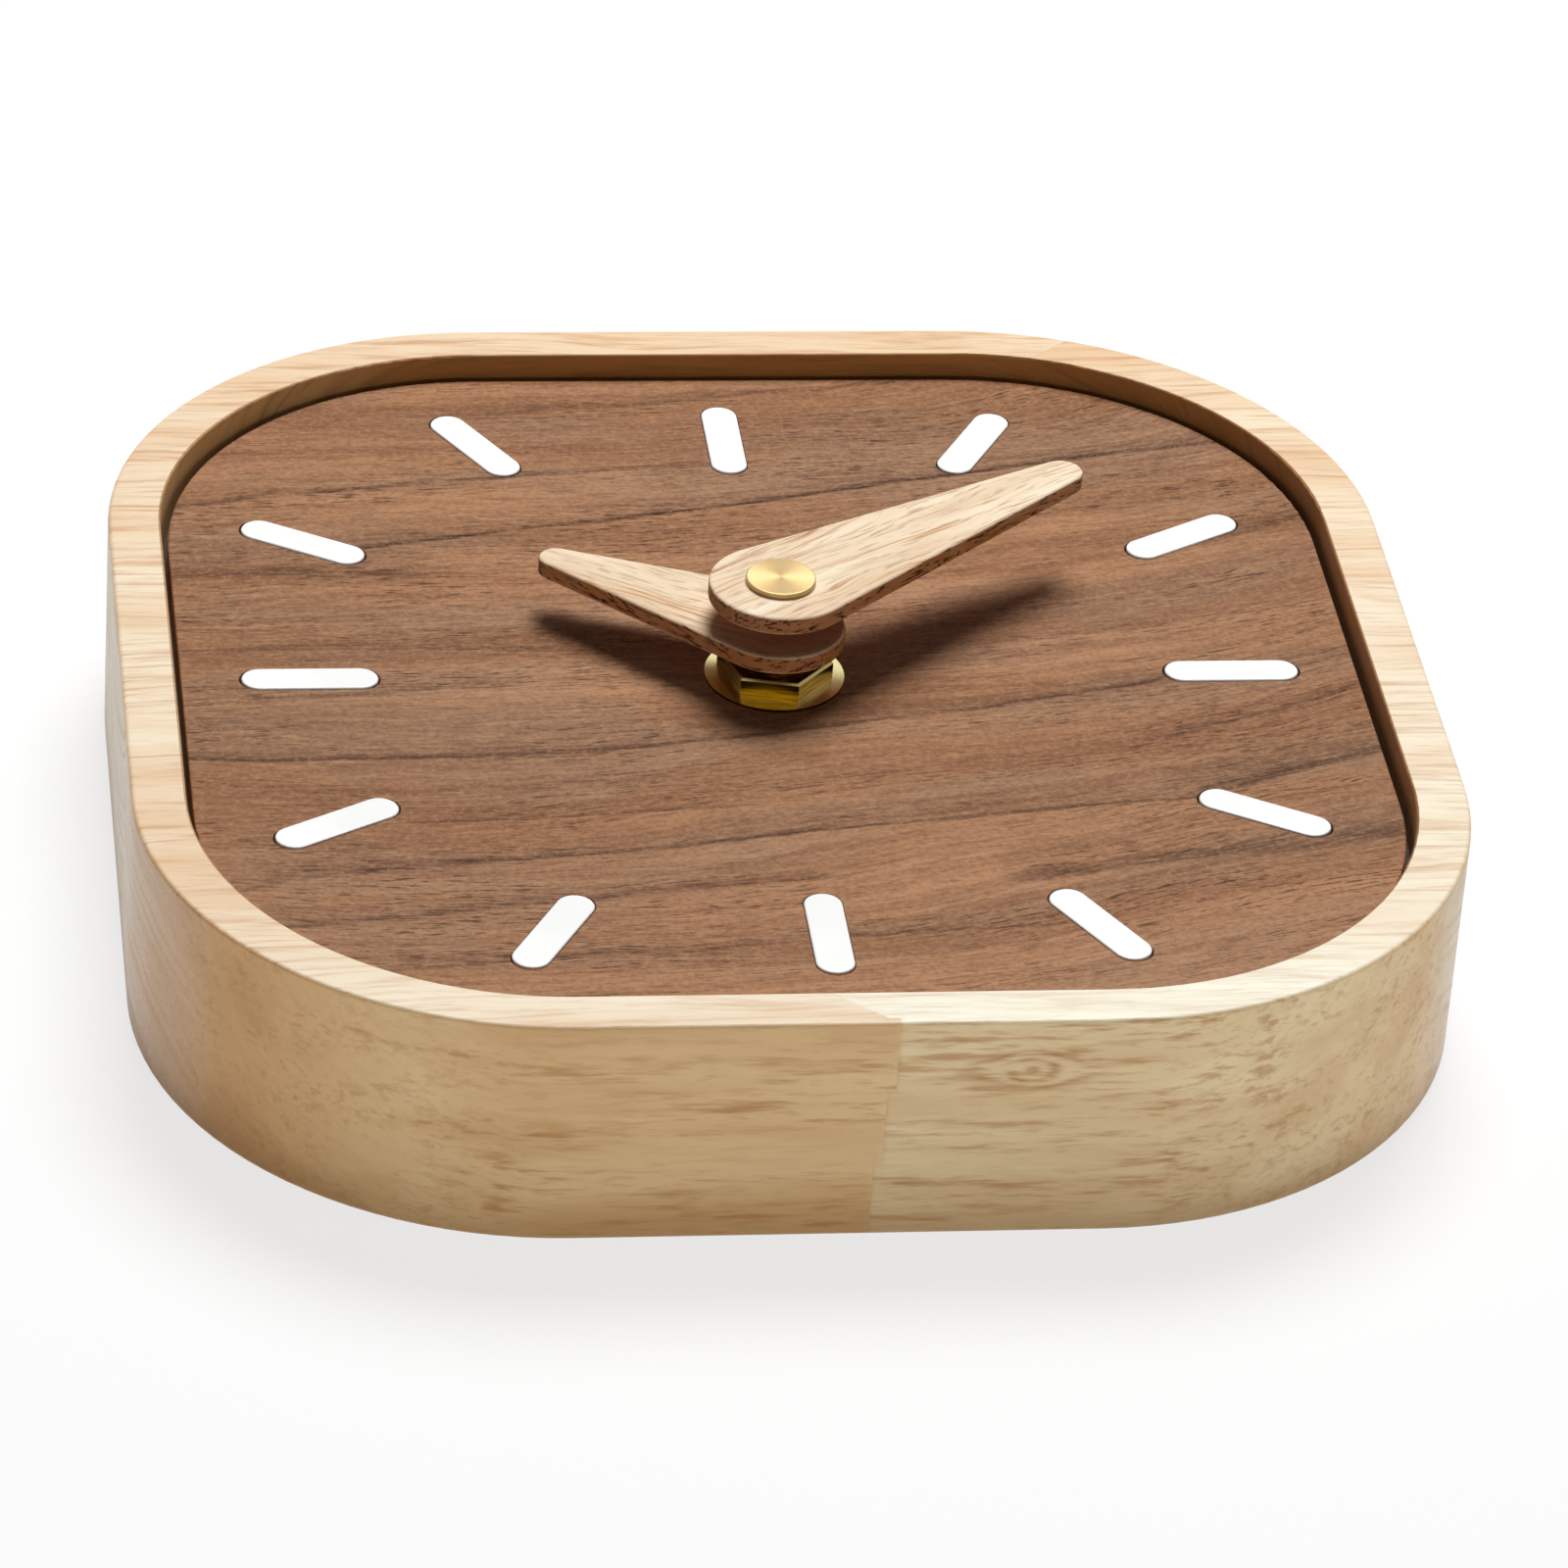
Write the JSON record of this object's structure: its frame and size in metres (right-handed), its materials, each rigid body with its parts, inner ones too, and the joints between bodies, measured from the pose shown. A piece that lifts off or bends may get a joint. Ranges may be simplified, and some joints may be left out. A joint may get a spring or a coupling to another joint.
{
  "type": "bedside clock",
  "caption": "Rounded-square wooden clock with a walnut dial, white hour marks and wooden hands, driven by a battery quartz movement set into its back.",
  "frame": {"origin": "middle of the clock's flat back, on the surface that it lies on", "axes": "+Z out of the dial, +Y towards 12 o'clock, +X towards 3 o'clock"},
  "size_m": [0.15, 0.15, 0.0383],
  "materials": {
    "rubberwood": "satin oil on sanded rubberwood",
    "walnut": "matt oil on walnut",
    "hand_wood": "sanded open-pored oak",
    "white_acrylic": "satin white",
    "brass": "turned, bright",
    "black_rubber": "matt",
    "black_plastic": "fine moulded texture",
    "knob_plastic": "moulded",
    "white_plastic": "moulded acetal",
    "magnet": "sintered",
    "steel": "stamped",
    "spring_steel": "plated",
    "copper_wire": "enamelled wire",
    "circuit_board": "lacquered",
    "chip_resin": "moulded",
    "crystal_can": "drawn",
    "battery_jacket": "printed film"
  },
  "bodies": {
    "clock": {"battery": "battery_jacket", "circuit_board": "circuit_board", "clock_chip": "chip_resin", "coil_bobbin": "white_plastic", "coil_core": "steel", "coil_winding": "copper_wire", "contact_negative": "spring_steel", "contact_positive": "spring_steel", "dial_nut": "brass", "hour_mark_01": "white_acrylic", "hour_mark_02": "white_acrylic", "hour_mark_03": "white_acrylic", "hour_mark_04": "white_acrylic", "hour_mark_05": "white_acrylic", "hour_mark_06": "white_acrylic", "hour_mark_07": "white_acrylic", "hour_mark_08": "white_acrylic", "hour_mark_09": "white_acrylic", "hour_mark_10": "white_acrylic", "hour_mark_11": "white_acrylic", "hour_mark_12": "white_acrylic", "movement_front": "black_plastic", "movement_rear": "black_plastic", "quartz_crystal": "crystal_can", "rubber_washer": "black_rubber", "stator": "steel", "threaded_bush": "brass", "train_plate": "white_plastic", "walnut_dial": "walnut", "wooden_frame": "rubberwood"},
    "minute": {"minute_arbor": "brass", "clutch_washer": "spring_steel", "minute_hand": "hand_wood", "minute_cap": "brass"},
    "hour": {"hour_wheel": "white_plastic", "hour_hand": "hand_wood"},
    "motion": {"motion_wheel": "white_plastic"},
    "knob": {"setting_knob": "knob_plastic"},
    "intermediate": {"intermediate_wheel": "white_plastic"},
    "rotor": {"rotor_pinion": "white_plastic", "rotor_magnet": "magnet"},
    "seconds": {"seconds_wheel": "white_plastic"},
    "third": {"third_wheel": "white_plastic"},
    "centre": {"centre_wheel": "white_plastic"}
  },
  "joints": [
    {"name": "minute_turn", "type": "hinge", "parent": "clock", "child": "minute", "pos_m": [0, 0, 0.025], "axis": [0, 0, 1], "continuous": true},
    {"name": "hour_turn", "type": "hinge", "parent": "clock", "child": "hour", "pos_m": [0, 0, 0.02], "axis": [0, 0, 1], "continuous": true},
    {"name": "motion_turn", "type": "hinge", "parent": "clock", "child": "motion", "pos_m": [0.01182, 0.00208, 0.0163], "axis": [0, 0, 1], "continuous": true},
    {"name": "knob_turn", "type": "hinge", "parent": "clock", "child": "knob", "pos_m": [0.02221, -0.00392, 0.002], "axis": [0, 0, 1], "continuous": true},
    {"name": "intermediate_turn", "type": "hinge", "parent": "clock", "child": "intermediate", "pos_m": [-0.0096, 0, 0.0086], "axis": [0, 0, 1], "continuous": true},
    {"name": "rotor_turn", "type": "hinge", "parent": "clock", "child": "rotor", "pos_m": [-0.01271, 0.00855, 0.0086], "axis": [0, 0, 1], "continuous": true},
    {"name": "seconds_turn", "type": "hinge", "parent": "clock", "child": "seconds", "pos_m": [0, 0, 0.0101], "axis": [0, 0, 1], "continuous": true},
    {"name": "third_turn", "type": "hinge", "parent": "clock", "child": "third", "pos_m": [0.0063, 0.01091, 0.0116], "axis": [0, 0, 1], "continuous": true},
    {"name": "centre_turn", "type": "hinge", "parent": "clock", "child": "centre", "pos_m": [0, 0, 0.0148], "axis": [0, 0, 1], "continuous": true}
  ],
  "couplings": [
    {"joint": "hour_turn", "follows": "minute_turn", "ratio": 0.083333},
    {"joint": "motion_turn", "follows": "minute_turn", "ratio": -0.33333},
    {"joint": "knob_turn", "follows": "minute_turn", "ratio": 1},
    {"joint": "rotor_turn", "follows": "intermediate_turn", "ratio": -6},
    {"joint": "seconds_turn", "follows": "intermediate_turn", "ratio": -0.2},
    {"joint": "third_turn", "follows": "intermediate_turn", "ratio": 0.026667},
    {"joint": "centre_turn", "follows": "intermediate_turn", "ratio": -0.0033333}
  ]
}
